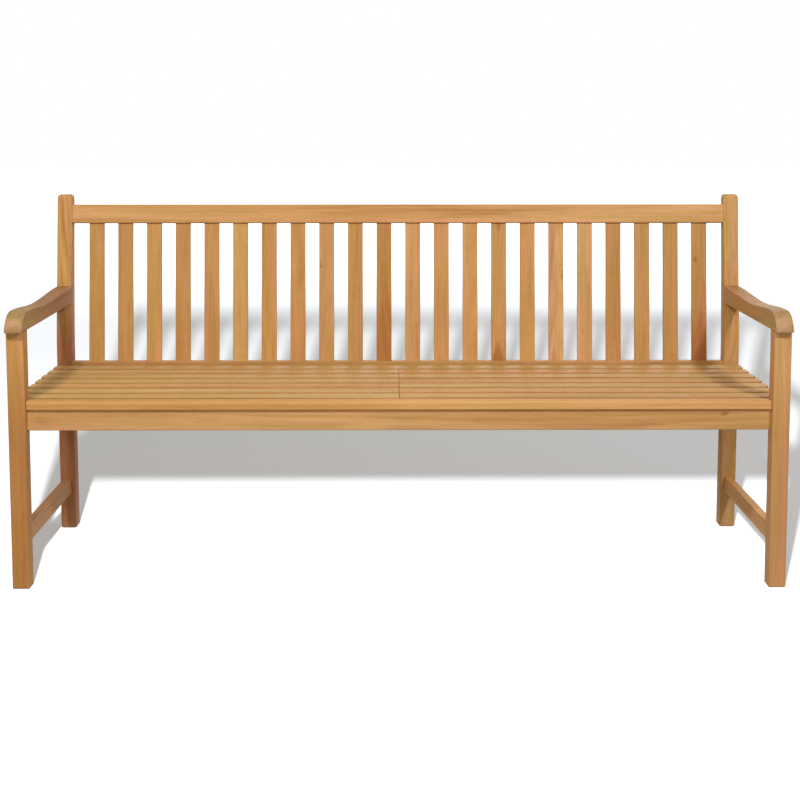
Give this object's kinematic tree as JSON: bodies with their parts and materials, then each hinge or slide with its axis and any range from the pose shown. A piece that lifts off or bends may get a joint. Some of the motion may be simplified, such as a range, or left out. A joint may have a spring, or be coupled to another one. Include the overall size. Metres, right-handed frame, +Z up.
{
  "type": "garden bench",
  "caption": "Wooden garden bench with a slatted seat, a reclined back of upright slats, and dipped armrests with rounded noses on square legs.",
  "frame": {"origin": "on the ground, in the middle of the bench's length and depth", "axes": "+X along the bench to the right as seen from the front, +Y from the front edge of the seat to the back, +Z up"},
  "size_m": [1.8, 0.5956, 0.888],
  "materials": {
    "frame_wood": "fine-sanded, oiled",
    "seat_wood": "fine-sanded, oiled",
    "back_wood": "fine-sanded, oiled",
    "hidden_wood": "planed",
    "peg_wood": "end grain",
    "fastener_steel": "plain stainless"
  },
  "bodies": {
    "root": {"front_leg_left": "frame_wood", "front_leg_right": "frame_wood", "rear_post_left": "frame_wood", "rear_post_right": "frame_wood", "arm_left": "frame_wood", "arm_right": "frame_wood", "side_stretcher_left": "frame_wood", "side_stretcher_right": "frame_wood", "seat_side_rail_left": "hidden_wood", "seat_side_rail_right": "hidden_wood", "front_rail": "frame_wood", "lower_back_rail": "frame_wood", "top_rail": "frame_wood", "centre_bearer": "hidden_wood", "seat_nosing": "seat_wood", "seat_slat_1_left": "seat_wood", "seat_slat_1_right": "seat_wood", "seat_slat_2_left": "seat_wood", "seat_slat_2_right": "seat_wood", "seat_slat_3_left": "seat_wood", "seat_slat_3_right": "seat_wood", "seat_slat_4_left": "seat_wood", "seat_slat_4_right": "seat_wood", "seat_slat_5_left": "seat_wood", "seat_slat_5_right": "seat_wood", "seat_slat_6_left": "seat_wood", "seat_slat_6_right": "seat_wood", "rear_seat_slat": "seat_wood", "back_slat_1": "back_wood", "back_slat_2": "back_wood", "back_slat_3": "back_wood", "back_slat_4": "back_wood", "back_slat_5": "back_wood", "back_slat_6": "back_wood", "back_slat_7": "back_wood", "back_slat_8": "back_wood", "back_slat_9": "back_wood", "back_slat_10": "back_wood", "back_slat_11": "back_wood", "back_slat_12": "back_wood", "back_slat_13": "back_wood", "back_slat_14": "back_wood", "back_slat_15": "back_wood", "back_slat_16": "back_wood", "back_slat_17": "back_wood", "back_slat_18": "back_wood", "back_slat_19": "back_wood", "back_slat_20": "back_wood", "back_slat_21": "back_wood", "back_slat_22": "back_wood", "frame_bolts": "fastener_steel", "barrel_nuts": "fastener_steel", "seat_screws": "fastener_steel", "tenon_pegs": "peg_wood"}
  },
  "joints": []
}
